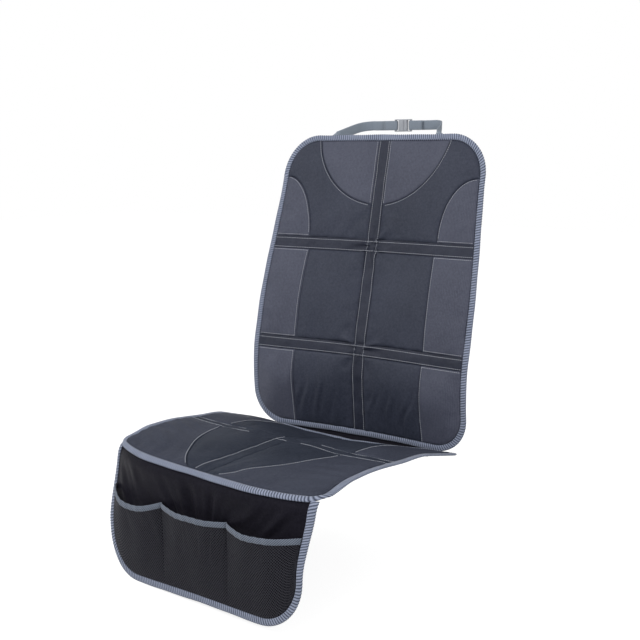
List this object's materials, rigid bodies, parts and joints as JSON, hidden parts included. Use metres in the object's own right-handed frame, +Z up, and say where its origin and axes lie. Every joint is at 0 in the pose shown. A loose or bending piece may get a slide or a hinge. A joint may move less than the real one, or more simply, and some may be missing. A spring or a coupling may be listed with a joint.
{
  "type": "car seat protector mat",
  "caption": "Padded car seat protector mat with a reclined back section, a seat section, a front flap with mesh pockets and a buckled strap that goes round headrest posts.",
  "frame": {"origin": "on the flat underside of the seat section, midway across it, where it rests on a seat cushion", "axes": "+X to the right of someone who faces the mat, -Y towards the front flap, +Z up"},
  "size_m": [0.4703, 0.6659, 0.7685],
  "materials": {
    "dark_cloth": "dark woven polyester with a slight sheen",
    "light_cloth": "lighter ribbed polyester",
    "backing_cloth": "plain dark non-slip cloth",
    "binding_tape": "blue-grey twill tape",
    "flap_cloth": "black woven polyester",
    "pocket_mesh": "black open net",
    "webbing": "light blue-grey woven webbing",
    "buckle_plastic": "light grey matt plastic"
  },
  "bodies": {
    "root": {"back_backing": "backing_cloth", "seat_backing": "backing_cloth", "crease_hinge": "backing_cloth", "back_binding": "binding_tape", "seat_binding": "binding_tape", "flap_binding": "binding_tape", "pocket_hem_left": "binding_tape", "pocket_hem_centre": "binding_tape", "pocket_hem_right": "binding_tape", "back_pad_upper_left": "dark_cloth", "back_pad_upper_right": "dark_cloth", "back_pad_middle_left": "dark_cloth", "back_pad_middle_right": "dark_cloth", "back_pad_lower_left": "dark_cloth", "back_pad_lower_right": "dark_cloth", "back_upper_band": "dark_cloth", "back_lower_band": "dark_cloth", "back_centre_strip_upper": "dark_cloth", "back_centre_strip_middle": "dark_cloth", "back_centre_strip_lower": "dark_cloth", "seat_pad_rear_left": "dark_cloth", "seat_pad_rear_right": "dark_cloth", "seat_pad_front_left": "dark_cloth", "seat_pad_front_right": "dark_cloth", "seat_cross_band": "dark_cloth", "seat_centre_strip_rear": "dark_cloth", "seat_centre_strip_front": "dark_cloth", "back_top_inlay_left": "light_cloth", "back_top_inlay_right": "light_cloth", "back_inlay_upper_left": "light_cloth", "back_inlay_upper_right": "light_cloth", "back_inlay_middle_left": "light_cloth", "back_inlay_middle_right": "light_cloth", "back_inlay_lower_left": "light_cloth", "back_inlay_lower_right": "light_cloth", "seat_inlay_rear_left": "light_cloth", "seat_inlay_rear_right": "light_cloth", "seat_inlay_front_left": "light_cloth", "seat_inlay_front_right": "light_cloth", "flap_cloth": "flap_cloth", "pocket_left": "pocket_mesh", "pocket_centre": "pocket_mesh", "pocket_right": "pocket_mesh", "headrest_strap_left": "webbing", "headrest_strap_right": "webbing", "buckle_socket": "buckle_plastic", "buckle_plug": "buckle_plastic"}
  },
  "joints": []
}
